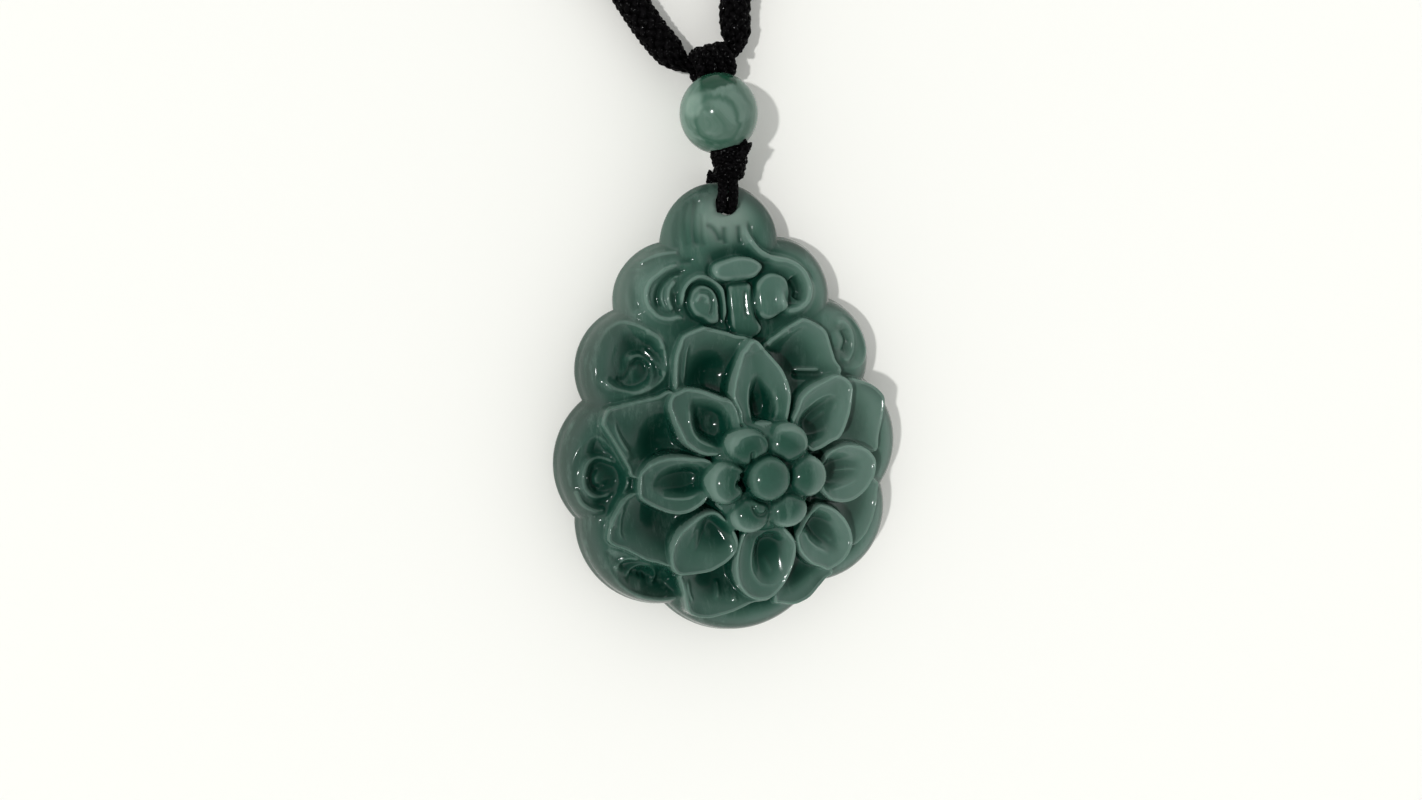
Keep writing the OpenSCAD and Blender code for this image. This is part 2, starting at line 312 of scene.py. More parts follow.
# Body of the plaque: lobes with a rounded shoulder, lower and thinner towards the hole
inside = np.clip(outline_depth(places), 0, SHOULDER) / SHOULDER
low = EDGE_Z + HEAD_EDGE_RISE * head_share(places)
height = low + (LOBE_Z - HEAD_DROP * head_share(places) - low) * np.sqrt(1 - (1 - inside) ** 2)

# Scroll cups in the lobes: the cup's edge line, its depth, the curls left standing in it and
# the grooves cut round them (points, half width, rise), and its boss (x, y, radius, rise)
SCROLL_CUPS = [
    ([(-15, 4), (-14.8, 7), (-13.8, 9.4), (-12.2, 10.4), (-10.8, 10.2), (-9.4, 9.4), (-8.2, 8.4),
      (-7.8, 6.6), (-8, 4.8), (-9.4, 3.6), (-11.4, 3), (-13.6, 3)], 1.5,
     [([(-14.4, 5.2), (-13.8, 4.2), (-12.6, 3.6), (-11.2, 3.4), (-9.8, 3.9), (-9.1, 5), (-9.3, 6.2),
        (-10.2, 6.9), (-11.3, 6.7), (-12, 6)], 0.42, 0.6),
      ([(-12.9, 4.8), (-12.2, 4.6), (-11.6, 5.2), (-11, 5.9), (-10.4, 6)], 0.3, -0.25),
      ([(-9.9, 7.7), (-9, 6.8), (-8.3, 5.7), (-8.2, 4.6)], 0.25, 0.35)], (-10.9, 5.1, 1.7, 0.6)),
    ([(-15.2, -0.9), (-16.6, -1.4), (-17.8, -2.8), (-18.3, -4.6), (-18, -6.6), (-17.2, -8.2),
      (-15.8, -9.3), (-14.4, -9), (-13.4, -7.4), (-12.6, -5.6), (-13.6, -3)], 1.5,
     [([(-13.6, -4.2), (-14.4, -3.4), (-15.5, -3.1), (-16.5, -3.6), (-17, -4.8), (-16.9, -6.1), (-16, -7),
        (-14.8, -7.1), (-13.9, -6.4)], 0.4, 0.6),
      ([(-15.4, -4.2), (-16.1, -4.9), (-16.1, -5.9), (-15.3, -6.4)], 0.28, -0.35),
      ([(-17.9, -6), (-17.3, -7.6), (-16, -8.5), (-14.8, -8.5)], 0.3, 0.4)], (-14.9, -5.3, 1.5, 0.55)),
    ([(-15.2, -12.6), (-15, -14.6), (-13.8, -16.8), (-11.8, -18.3), (-9.2, -19), (-7.6, -18.6),
      (-7.6, -16.6), (-9.2, -15.2), (-12, -13.9)], 2.1,
     [([(-14.4, -15), (-13.8, -14.2), (-12.9, -13.9), (-11.8, -14.2)], 0.28, 0.4),
      ([(-13.2, -16), (-12.6, -15.2), (-11.5, -14.9), (-10.4, -15.4), (-10, -16.5),
        (-10.6, -17.5)], 0.35, 0.5),
      ([(-11.9, -16), (-11.2, -15.9), (-10.9, -16.6)], 0.25, -0.3)], (-11.5, -16.5, 1.4, 0.5)),
    ([(10.6, 8.8), (10.9, 6.8), (11.6, 4.8), (12.6, 3.9), (14.4, 4.2), (15.3, 5.8), (14.8, 7.8),
      (13.6, 9.4), (12, 10)], 1,
     [([(11.4, 8.8), (12.6, 9), (13.6, 7.8), (13.7, 6), (12.9, 4.9), (12, 5.2)], 0.38, 0.45),
      ([(12.5, 8.2), (12.9, 7), (12.5, 5.8)], 0.28, -0.3)], (11.8, 7, 1.3, 0.5)),
]
for cup, cup_depth, curls, (boss_x, boss_y, boss_r, boss_rise) in SCROLL_CUPS:
    loop = smooth_line(cup, closed=True)
    ids = near(loop, 2)
    depth = inside_by(places[ids], loop)
    hollow = 1 - (1 - np.clip(depth / CUP_WALL, 0, 1)) ** 2
    from_left = places[ids, 0] - loop[:, 0].min()
    height[ids] += CUP_LIP * np.exp(-(depth / 0.3) ** 2) * ease(from_left, 2, 5)
    height[ids] -= cup_depth * hollow * (0.3 + 0.8 * ease(from_left, 0, 4.5))
    for curl in curls:
        add_ridge(height, *curl)
    boss = np.hypot(places[:, 0] - boss_x, places[:, 1] - boss_y) / boss_r
    height += boss_rise * np.maximum(1 - boss**2, 0) ** 1.5

# Crown: grooves between the flutes and the ribbons, then the ribbons' crests
# (points, half width, rise)
CROWN_LINES = [
    ([(-4.9, 22), (-5.3, 20.4), (-5.5, 18.8), (-5.4, 17.4)], 0.4, -0.16),
    ([(-3.9, 22.6), (-4.5, 20.8), (-4.6, 19.2), (-4.5, 17.5)], 0.3, -0.18),
    ([(-3, 22.8), (-3.4, 21.2), (-3.7, 19.4), (-3.6, 17.6)], 0.45, -0.32),
    ([(-2.7, 21.4), (-2.8, 20), (-2.9, 18.7), (-2.7, 17.6)], 0.3, -0.18),
    ([(-2.5, 19.9), (-1.9, 19.8), (-1.3, 19.1), (-1, 18.1)], 0.35, -0.24),
    ([(-0.4, 19.8), (-0.5, 18.8), (-0.4, 17.8)], 0.35, -0.22),
    ([(1.2, 19.9), (1.2, 18.8), (1.3, 17.8)], 0.35, -0.22),
    ([(2.2, 20.6), (2.3, 19.8), (2.5, 18.8), (3.3, 17.6), (4.4, 16.9), (5.9, 16.5), (7.4, 15.8),
      (8.6, 14.6), (9.1, 13)], 0.3, -0.35),
    ([(-2.6, 15.9), (-1.9, 16.7), (-0.5, 17.1), (1, 17.2), (2.6, 16.8), (3.7, 16),
      (4.8, 15.2)], 0.6, -0.24),
    ([(-9.9, 15.8), (-10.2, 14.4), (-10.3, 13), (-9.9, 11.4)], 0.7, -0.45),
    ([(-10, 16.3), (-8.4, 16.9), (-6.9, 17.2), (-5.4, 17.3)], 0.3, 0.4),
    ([(-4, 16.5), (-5.6, 16.1), (-7.4, 16)], 0.3, -0.2),
    ([(-5.4, 16.2), (-7, 15.7), (-8, 15.1), (-8.9, 14.4), (-9.4, 13.4), (-9.4, 12.3), (-9, 11.5),
      (-8.3, 10.8), (-7.2, 10.5), (-6.2, 10.6), (-5.4, 10.2)], 0.32, 0.7),
    ([(-5, 15.4), (-6.6, 14.9), (-7.8, 13.9), (-8.3, 12.7), (-8, 11.5)], 0.3, -0.4),
    ([(-5.6, 15), (-6.9, 14.5), (-7.7, 13.5), (-7.8, 12.3), (-7.3, 11.3)], 0.18, 0.3),
    ([(-6.2, 14.4), (-7, 13.6), (-7.2, 12.4), (-6.8, 11.2)], 0.28, 0.5),
    ([(-6.3, 13.2), (-6.4, 12.2), (-6, 11)], 0.3, -0.25),
    ([(-5.7, 11.6), (-5.6, 13.1), (-4.9, 14.1), (-3.9, 14.6), (-3, 14.5), (-2.1, 14), (-1.4, 13.2),
      (-1.1, 12), (-1.1, 10.8), (-1.2, 9.8)], 0.25, 0.9),
    ([(-0.9, 13.4), (-0.9, 12), (-0.8, 10.6), (-0.7, 9.4)], 0.25, -0.4),
    ([(1.8, 20), (2.1, 18.4), (3.2, 16.9), (4.8, 16.2), (6.2, 15.9), (7.4, 15.2), (8.2, 14.1), (8.5, 12.8),
      (8.2, 11.6), (7.2, 10.8), (6, 10.7), (5.2, 11.5), (5, 12.7), (4.7, 13.4)], 0.5, 0.8),
    ([(6.6, 14.1), (7.1, 13.3), (7.3, 12.4), (7, 11.7)], 0.5, -0.75),
    ([(-4.1, 13.2), (-3, 13.1), (-2.5, 12.3), (-2.6, 11.2), (-3, 10.5)], 0.2, -0.35),
    ([(-4.4, 12), (-3.9, 12.7), (-3.2, 12.4), (-3.2, 11.7)], 0.2, 0.25),
    ([(1.1, 13.2), (1.1, 11.6), (1.2, 10)], 0.2, -0.25),
]
# Raised forms of the crown: edge line, rise, width of the rounding, moat depth
CROWN_FORMS = [
    ([(-2.4, 15.2), (-2, 15.9), (-0.85, 16.3), (0.65, 16.6), (2.2, 16.35), (3.3, 15.5), (2.8, 14.6),
      (2.1, 14.2), (0.75, 14), (-0.95, 14), (-2.1, 14.4)], 1.3, 1, 0.3),
    ([(-0.6, 13.6), (0.6, 13.9), (1.9, 13.7), (2.2, 11.9), (2.4, 10.2), (2.9, 8.8), (1.6, 7.9),
      (-0.2, 8.6), (-0.7, 11.2)], 0.75, 1, 0.25),
    ([(-5, 12), (-4.6, 13.3), (-3.6, 13.8), (-2.5, 13.4), (-1.9, 12.4), (-1.8, 11), (-1.9, 9.9),
      (-2.8, 9.7), (-3.6, 10.3), (-4.5, 10.8)], 1, 1, 0.3),
    ([(2.3, 13), (2.9, 14.2), (4.3, 14.7), (5.8, 14.1), (6.2, 12.8), (5.9, 11.4), (5.1, 10.4), (3.7, 9.8),
      (2.6, 10.3), (2.2, 11.6)], 1, 1.2, 0.3),
]
for form in CROWN_FORMS:
    add_dome(height, *form)
for line in CROWN_LINES:
    add_ridge(height, *line)

# Petals: the edge line, the tip's height, depth of the cup; the edge line of the hollow cut in
# it, the hollow's deepest place (x, y), how far it spreads and its depth; fine lines on it
# (points, half width, rise)
OUTER_PETALS = [
    ([(2.6, 6.4), (3.3, 7.6), (4.1, 8.1), (5.1, 8.7), (6.3, 9.3), (7.2, 9.7), (7.7, 9.7), (8.4, 9.4),
      (9.1, 9), (9.7, 8.5), (10.1, 8), (10.5, 6.6), (10.9, 5.1), (11.4, 3.5), (8.2, 0.8), (5.4, -0.6),
      (4.2, -0.8), (4, 1.8)], 6.5, 0.5, None, (5.6, 4.9), 3, 1.5,
     [([(3.9, 7.2), (5.6, 8.1), (7.3, 8.9), (8.4, 8.5)], 0.2, 0.15),
      ([(6.2, 4.3), (7.6, 4.2), (9.4, 4.1)], 0.25, 0.3), ([(6, 3.7), (7.6, 3.6), (9.6, 3.4)], 0.4, -0.5)]),
    ([(10.6, 0.6), (11.4, 2.1), (12.3, 2.8), (12.9, 2.9), (14.2, 2.5), (15.1, 2.1), (16, 1.4), (16.6, 0.6),
      (16.6, -0.4), (16.3, -1.8), (15.8, -3.5), (15.2, -5.4), (12.2, -4.8), (8.6, -5), (7, -4.6),
      (7.2, -3.4), (9.8, -2.4)], 6.5, 0.4, None, (12.4, -2.6), 2.4, 1, []),
    ([(11.5, -8.2), (13.6, -7.7), (15.4, -8.7), (15.4, -10), (15.3, -11.2), (15, -12.2), (14.5, -13.4),
      (13.3, -14.9), (11.8, -15.5), (10.2, -13.5), (9, -11.2), (7, -10.4), (6.9, -9.2),
      (8.4, -8.8)], 6.4, 0.4, None, (12.4, -10.8), 2.4, 1, []),
    ([(9.5, -17.8), (8.6, -18.9), (7.7, -19.8), (6.8, -20.6), (5.9, -21), (4.7, -21.2), (3.2, -20.8),
      (2.5, -20.3), (2.8, -16.4), (3.6, -12.6), (5.2, -11.8),
      (6.2, -14.4)], 6.4, 0.4, None, (5.4, -17.6), 2.4, 1, []),
    ([(-7.8, -15.8), (-7.8, -17.1), (-7.6, -18), (-7.4, -19.2), (-7.1, -20.3), (-6.2, -20.9),
      (-4.9, -21.2), (-3.6, -21.1), (-2.2, -20.9), (-0.9, -20.5), (0.1, -20.2), (1.9, -20.1), (2.4, -18.6),
      (-0.5, -14.2), (-1.2, -11.4), (-2.9, -11.4), (-5, -14)], 6.4, 0.5, None, (-3.6, -16.4), 2.6, 1.5,
     [([(-7.1, -16.6), (-7, -18), (-6.6, -19.4)], 0.2, 0.3),
      ([(-3.6, -17.2), (-3.6, -18.4), (-3.9, -19.6)], 0.3, 0.25),
      ([(-2.1, -19.2), (-1.8, -19.9)], 0.25, 0.2)]),
    ([(-12.4, -6.9), (-13.4, -7.5), (-14, -8.2), (-14.6, -9.1), (-14.9, -9.8), (-15.2, -11.4),
      (-14.5, -12.2), (-13.6, -12.6), (-12.5, -13.3), (-11.3, -14.1), (-10.2, -14.5), (-9.1, -15),
      (-8.2, -15.4), (-7.3, -16), (-4.4, -13), (-5.5, -9),
      (-9.6, -6.4)], 6.4, 0.5, None, (-8.8, -9.8), 3, 1.7,
     [([(-13.2, -7.9), (-13.7, -9), (-13.9, -10.1), (-13.9, -11.1), (-13.4, -12)], 0.2, 0.3)]),
    ([(-15, 0.6), (-14.3, 1.9), (-13.2, 2.2), (-12, 2.4), (-10.5, 2.6), (-9.1, 2.8), (-7.4, 3.1),
      (-5.8, 0.1), (-4.6, -3.4), (-8, -5.4), (-12, -5.4), (-12.7, -4.2), (-13.4, -2.8), (-14.1, -1.4),
      (-14.8, -0.1)], 6.5, 0.5, None, (-8.3, -2.2), 3, 2,
     [([(-13.6, 1), (-13.7, 0), (-13.4, -1), (-12.9, -2), (-12.2, -3)], 0.2, 0.3)]),
    ([(-7.1, 2.6), (-7.3, 4), (-7.2, 5.2), (-7, 6.6), (-6.6, 7.7), (-6, 8.7), (-4.9, 9.2), (-4.2, 9.4),
      (-3.6, 9.5), (-2.2, 9.1), (-1.2, 8.8), (-0.2, 8.4), (1, 8.1), (1.7, 7.2), (1.4, 4.2), (-0.5, 0.8),
      (-4.7, 1)], 6.5, 0.5, None, (-2.9, 4.2), 2.8, 2,
     [([(-5.2, 8.2), (-5.7, 7.2), (-5.9, 5.9), (-6.1, 4.6), (-6.2, 3.6)], 0.2, 0.3)]),
]
INNER_PETALS = [
    ([(-0.9, -0.8), (-1.1, 0.6), (-1.6, 2.1), (-1.4, 3.2), (-0.9, 4.6), (-0.2, 6.4), (0.3, 7.1),
      (0.9, 7.8), (1.6, 7.8), (2.4, 6.9), (3.4, 5.7), (4.2, 4.6), (4.7, 3.3), (4.9, 2.2), (4.8, 1.2),
      (4.3, -0.4), (3.6, -1.6), (1.2, -2)], 7.5, 0.5,
     [(0.7, 4), (0.2, 2.9), (0, 1.5), (0.1, 0.4), (0.3, -0.6), (1.1, -1.2), (2.4, -1), (3.2, -0.2),
      (3.5, 1.2), (3.1, 2.8), (2.3, 4.2), (1.4, 4.6)], (1.4, 0.3), 2.6, 2,
     [([(0.8, 4), (0.3, 2.9), (0.1, 1.5), (0.1, 0.4), (0.3, -0.5)], 0.16, 0.16),
      ([(-0.3, 5.4), (-0.8, 4.2), (-1.1, 3)], 0.18, -0.15)]),
    ([(4.6, -1.4), (5.4, 0.4), (6.1, 1.6), (7.4, 2.5), (9, 3.1), (10.2, 3.5), (11.2, 3.3), (11.9, 2.7),
      (12.2, 2), (12.1, 1), (11.8, -0.4), (11.3, -1.6), (10.7, -2.7), (10.1, -3.3), (9.2, -3.6),
      (7.6, -4.2), (6.4, -4)], 7.8, 0.45,
     [(5.4, -1.2), (6.3, 0.2), (7.8, 1.2), (9.4, 1.7), (10.6, 1.4), (10.9, 0.2), (10.4, -1.6), (9.4, -2.9),
      (7.6, -3.6), (5.8, -3.4)], (7, -1.4), 2.8, 1.3,
     [([(6.9, -1.6), (8, -0.8), (9.2, -0.1)], 0.25, 0.2),
      ([(6.3, -0.1), (7.8, 1), (9.4, 1.5), (10.3, 1.1), (10.5, 0.2)], 0.16, 0.14)]),
    ([(7.6, -6.4), (8.4, -4.9), (9.4, -4.3), (11, -4), (12.7, -4.3), (13.9, -5), (14.6, -6.1),
      (14.5, -7.4), (14, -8.4), (13.1, -9.4), (11.9, -10.1), (10.7, -10.3), (9.6, -10.1), (8.6, -9.6),
      (7.7, -8.4)], 7.8, 0.45,
     [(7.6, -6), (8.8, -5), (10.8, -4.7), (12.8, -5.2), (13.4, -6.4), (12.6, -8), (10.4, -8.8), (8.6, -9),
      (7.6, -7.8)], (8.6, -6.6), 3, 1.2,
     [([(9.2, -6.9), (11.2, -6.8), (13, -6.9)], 0.18, 0.22),
      ([(8.6, -8.9), (10, -8.7), (11.6, -8.3), (12.8, -7.6)], 0.16, 0.14)]),
    ([(5.4, -12.2), (6.2, -10.9), (7.2, -10.1), (8, -10.1), (9.1, -10.6), (10, -11.3), (10.8, -12.2),
      (11.4, -13.4), (11.6, -14.6), (11.4, -15.5), (10.9, -16.3), (10.1, -17), (8.6, -17.6), (7.7, -17.2),
      (6.8, -16.8), (6.1, -16.2), (5.4, -15.4), (4.9, -14.5), (4.7, -13.2)], 7.5, 0.45,
     [(5.2, -12.9), (5.8, -13.2), (6.3, -14), (7, -14.7), (7.9, -15.3), (8.9, -16), (10.1, -16.2),
      (10.8, -15.2), (10.6, -13.5), (9.8, -12), (8.5, -11), (7, -10.7),
      (5.6, -11.8)], (6.9, -12.3), 2.8, 1.3,
     [([(8.2, -13.4), (9.4, -14.7)], 0.22, 0.15),
      ([(5.3, -12.9), (5.8, -13.2), (6.3, -14), (7, -14.7), (7.9, -15.3), (8.9, -15.9)], 0.16, 0.16)]),
    ([(-1.2, -11.8), (0.6, -11.4), (2.6, -11.5), (4.2, -13), (4.7, -14.4), (4.5, -16), (3.9, -17.5),
      (3.1, -18.7), (1.8, -19.7), (0.2, -19.7), (-1.1, -18.9), (-2, -17.3), (-2.2, -15.4),
      (-1.9, -13.4)], 7.4, 0.5,
     [(0.1, -12.9), (-0.3, -14.2), (-0.4, -15.3), (-0.3, -16.3), (0, -17.2), (0.6, -17.9), (1.2, -18.2),
      (2.1, -18.3), (3.3, -17.6), (3.9, -16.4), (4.1, -15.2), (4, -14.1), (3.7, -13.2), (2.6, -12.3),
      (1.4, -12.2), (0.6, -12.5)], (0.9, -13.6), 2.6, 1.4,
     [([(1.3, -15), (1.8, -16.3), (2.2, -17.3)], 0.25, 0.15),
      ([(0, -12.9), (-0.3, -14.2), (-0.4, -15.3), (-0.3, -16.3), (0.1, -17.2), (0.8, -18), (2.1, -18.3),
        (3.3, -17.6), (3.9, -16.4), (4.1, -15.2)], 0.15, 0.16)]),
    ([(-6.8, -10.3), (-5.8, -9.6), (-4.7, -9.3), (-3.8, -9.6), (-2.5, -11.3), (-1.9, -12.7), (-2.1, -14),
      (-3, -15), (-3.9, -15.5), (-4.9, -15.9), (-6.3, -16), (-8.1, -15.9), (-8.8, -15.1), (-9, -13.8),
      (-8.8, -12.7), (-8.4, -11.9), (-7.8, -11.1)], 7.2, 0.4,
     [(-5.4, -9.6), (-3.9, -9.7), (-2.4, -11.6), (-2.2, -13.2), (-3.8, -14.2), (-6, -13.6),
      (-6.8, -11.6)], (-3.9, -10.7), 1.9, 1.3,
     [([(-4.7, -10.7), (-5.6, -12.2), (-6.4, -13.8)], 0.2, -0.15),
      ([(-5.6, -10.4), (-6.6, -12), (-7.2, -13.4)], 0.2, -0.1)]),
    ([(-11.8, -5.8), (-11.6, -4.8), (-10.7, -4), (-9.8, -3.6), (-8.8, -3.4), (-7.4, -3.4), (-6.1, -3.6),
      (-5, -3.8), (-4.3, -4.4), (-4.3, -6), (-4.9, -7.6), (-5.4, -8.4), (-6.3, -9), (-7, -9.3), (-8, -9.4),
      (-8.9, -9.2), (-9.8, -8.8), (-10.8, -8.2), (-11.8, -7.3)], 7.1, 0.45,
     [(-10.8, -6.2), (-10, -4.8), (-8, -4.1), (-5.8, -4.3), (-4.5, -5.4), (-5, -7), (-5.9, -7.6),
      (-6.9, -7.9), (-7.9, -7.9), (-9.1, -7.7), (-10.1, -7.3)], (-6.5, -6), 2.7, 1.6,
     [([(-10, -7.2), (-9.1, -7.6), (-7.9, -7.8), (-6.9, -7.8), (-5.9, -7.5)], 0.16, 0.16)]),
    ([(-8.2, 1.5), (-8.1, 2.3), (-7.7, 2.9), (-7.2, 3.1), (-6.3, 3.4), (-5.3, 3.3), (-4.3, 3), (-3.4, 2.6),
      (-2.5, 2.2), (-1.8, 1.9), (-1.3, 1), (-1.1, -0.2), (-1.2, -1.4), (-2.2, -2.9), (-3.4, -3.5),
      (-4.6, -3.6), (-5.7, -3.2), (-6.8, -2.3), (-7.2, -1.5), (-7.5, -0.7), (-7.8, 0.1),
      (-8, 0.8)], 7.2, 0.45,
     [(-6.3, 1.7), (-6.2, 0.8), (-6.2, 0), (-6, -1.1), (-5.5, -1.9), (-4.8, -2.4), (-4, -2.8), (-3.1, -3),
      (-2, -2.2), (-1.6, -0.6), (-2, 1), (-3.2, 2), (-4.6, 2.5), (-5.8, 2.6)], (-4, -0.9), 2.4, 2,
     [([(-6.3, 1.7), (-6.2, 0.8), (-6.2, 0), (-6, -1.1), (-5.5, -1.9), (-4.8, -2.4),
        (-4, -2.8)], 0.16, 0.16)]),
]
# Lips of the petals: how far from the flower's middle and how high they start, and how far out
# they are at the tip's height; then how wide the wall of the cup inside them is
OUTER_LIPS, OUTER_WALL = (8, 6.9, 17), 1
INNER_LIPS, INNER_WALL = (5, 8.7, 13), 0.5
LIP_WIDTH, LIP_DROP, LIP_BEAD, LIP_BEAD_WIDTH = 0.18, 0.12, 0.14, 0.11
PETAL_LINE_FADE = 0.25
WALL_SLOPE, FILLET = 9, 0.1


def add_petal(height, lips, wall, points, tip_z, cup_depth, hollow_line, deepest, spread, hollow_depth,
              lines):
    """A petal: a lip that falls from the root's height to the tip's, with a cup inside it."""
    loop = smooth_line(points, closed=True)
    ids = near(loop, 1.2)
    spot = places[ids]
    depth = inside_by(spot, loop)
    root_r, root_z, tip_r = lips
    out = (np.hypot(*(spot - FLOWER).T) - root_r) / (tip_r - root_r)
    petal = root_z + (tip_z - root_z) * np.clip(out, 0, 1)
    petal -= LIP_DROP * np.clip(1 - depth / LIP_WIDTH, 0, 1) ** 2
    petal += LIP_BEAD * np.exp(-((depth - LIP_WIDTH) / LIP_BEAD_WIDTH) ** 2)
    petal -= cup_depth * (1 - np.exp(-np.maximum(depth - LIP_WIDTH, 0) / wall))
    near_deepest = np.exp(-(np.hypot(*(spot - deepest).T) / spread) ** 2)
    if hollow_line:
        in_hollow = inside_by(spot, smooth_line(hollow_line, closed=True))
        near_deepest = (0.2 + 0.8 * near_deepest) * ease(in_hollow, -0.1, 1.2)
    petal -= hollow_depth * near_deepest
    for line, half_width, rise in lines:
        away, share = to_line(spot, smooth_line(line))
        petal += rise * faded(share, PETAL_LINE_FADE) * np.exp(-(away / half_width) ** 2)
    petal -= WALL_SLOPE * np.maximum(-depth, 0)
    height[ids] = np.where(depth > 0, petal, soft_max(height[ids], petal, FILLET))


for petal in OUTER_PETALS:
    add_petal(height, OUTER_LIPS, OUTER_WALL, *petal)
for petal in INNER_PETALS:
    add_petal(height, INNER_LIPS, INNER_WALL, *petal)

# Wide bevels left on the edges of some outer petals and of the upper left cup
BEVELS = [
    ([(-7, 3.2), (-7, 5.2), (-6.7, 6.9), (-6, 8.2)], 0.4, 0.24),
    ([(-14.5, 0.9), (-13.9, -0.4), (-13.1, -2), (-12.3, -3.6)], 0.45, 0.28),
    ([(-9.8, 9.3), (-8.7, 8.6), (-8.1, 7.3)], 0.45, 0.28),
    ([(-13.2, -7.3), (-14, -8.6), (-14.6, -10.2)], 0.45, 0.24),
    ([(3.1, 6.9), (4.3, 7.8), (5.9, 8.7)], 0.45, 0.28),
]
for line in BEVELS:
    add_ridge(height, *line)

# Seven balls in the flower's middle, on a seat: x, y, half width, half length, top height.
# The ring of six is cut to clear the middle one.
BALLS = [
    (3.6, -2.9, 2.3, 2.05, 10.8), (-0.8, -2.9, 2.3, 1.9, 10.9), (-3.25, -6.3, 2.05, 2.25, 10.9),
    (-0.9, -9.9, 2.15, 1.95, 10.7), (3.2, -9.9, 2.25, 1.85, 10.8), (5.65, -6.6, 2.15, 2.2, 10.8),
    (1.05, -6.25, 2.3, 2.3, 11.7),
]
BALL_RISE = 1.5
SEAT_Z, SEAT_R, SEAT_EASE, SEAT_FALL, SEAT_END = 9.6, 4.4, 1.2, 0.9, 5.7
SOCKET_R, SOCKET_EASE, SOCKET_CUT = 2.5, 0.2, 0.7
middle = np.array(BALLS[-1][:2])
from_middle = np.hypot(*(places - middle).T)
height += (np.minimum(SEAT_Z, height) - height) * (1 - ease(from_middle, SEAT_R, SEAT_R + SEAT_EASE))
seat = SEAT_Z - SEAT_FALL * np.maximum(from_middle - SEAT_R, 0)
seat -= WALL_SLOPE * np.maximum(from_middle - SEAT_END, 0)
height = np.maximum(height, seat)
for x, y, half_x, half_y, top in BALLS:
    across = ((places[:, 0] - x) / half_x) ** 2 + ((places[:, 1] - y) / half_y) ** 2
    ball = top - BALL_RISE + BALL_RISE * np.sqrt(np.maximum(1 - across, 0))
    if (x, y) != tuple(middle):
        ball -= SOCKET_CUT * (1 - ease(from_middle, SOCKET_R, SOCKET_R + SOCKET_EASE))
    ball -= WALL_SLOPE * np.maximum(np.sqrt(across) - 1, 0) * half_x
    height = soft_max(height, ball, FILLET)

# Cuts of the wheel left on four of the balls, and the flat facet at the tip of the top petal
WHEEL_CUTS = [
    ([(-2.7, -6.2), (-2, -6.5), (-1.2, -6.6)], 0.3, -0.9),
    ([(-1.6, -5.3), (-1.7, -6.4), (-1.2, -7.5)], 0.35, -1),
    ([(-3, -4.6), (-2.2, -4.9), (-1.6, -5.3)], 0.2, 0.25),
    ([(-0.7, -3.2), (-0.7, -3.8), (-0.6, -4.5)], 0.22, -0.5),
    ([(-2.5, -2.7), (-1.9, -1.8), (-0.9, -1.5), (0.2, -1.6), (0.9, -2.3), (1.1, -3.2)], 0.15, 0.2),
    ([(2.7, -1.3), (3.7, -1.5), (4.7, -2), (5.3, -3), (5.1, -3.9)], 0.3, 0.15),
    ([(-0.9, -8.7), (-0.6, -9.6), (0.2, -9.9), (0.9, -9.5)], 0.2, -0.45),
]
for line in WHEEL_CUTS:
    add_ridge(height, *line)
add_dome(height, [(-0.2, 6.9), (0.4, 7.7), (1.5, 7.8), (2.2, 7.1), (1.9, 6.6), (0.6, 6.5)], 0.3, 0.4)

shape = (len(grid_y), len(grid_x))


def blurred(field, width):
    """The field smoothed over about that many millimetres."""
    reach = int(math.ceil(3 * width / GRID_STEP))
    weights = np.exp(-0.5 * (np.arange(-reach, reach + 1) * GRID_STEP / width) ** 2)
    weights /= weights.sum()
    for axis in (0, 1):
        pad = [(reach, reach) if axis == k else (0, 0) for k in (0, 1)]
        padded = np.pad(field, pad, mode="edge")
        length = field.shape[axis]
        field = sum(w * np.take(padded, range(i, i + length), axis) for i, w in enumerate(weights))
    return field


def at_places(field, points):
    """The field's value at any points, straight between the grid's own."""
    gx = np.clip((points[:, 0] - GRID_X[0]) / GRID_STEP, 0, shape[1] - 1.001)
    gy = np.clip((points[:, 1] - GRID_Y[0]) / GRID_STEP, 0, shape[0] - 1.001)
    i, j = gx.astype(int), gy.astype(int)
    u, v = gx - i, gy - j
    return ((field[j, i] * (1 - u) + field[j, i + 1] * u) * (1 - v)
            + (field[j + 1, i] * (1 - u) + field[j + 1, i + 1] * u) * v)


face_field = blurred(height.reshape(shape), FACE_BLUR)
edge_field = outline_depth(places).reshape(shape)


def sunk(width, depth):
    """How far the face lies below what is round it, from -1 to 1 for that depth."""
    return np.clip((blurred(face_field, width) - face_field) / depth, -1, 1)


# What the painted shade and light go by: hollows, narrow creases and the rim
hollow_field = np.maximum(sunk(1.6, 1.2), sunk(2.8, 2)) * ease(edge_field, 0.3, 1.8)
crease_field = sunk(0.27, 0.2) * ease(edge_field, 0.2, 0.9)
rim_field = 1 - ease(edge_field, 0.3, 2.4)


def back_height(points):
    share = head_share(points)
    round_share = (1 - np.clip(outline_depth(points), 0, BACK_SHOULDER) / BACK_SHOULDER) ** 2
    return HEAD_LIFT * share + (1 - 0.6 * share) * BACK_ROUND * round_share


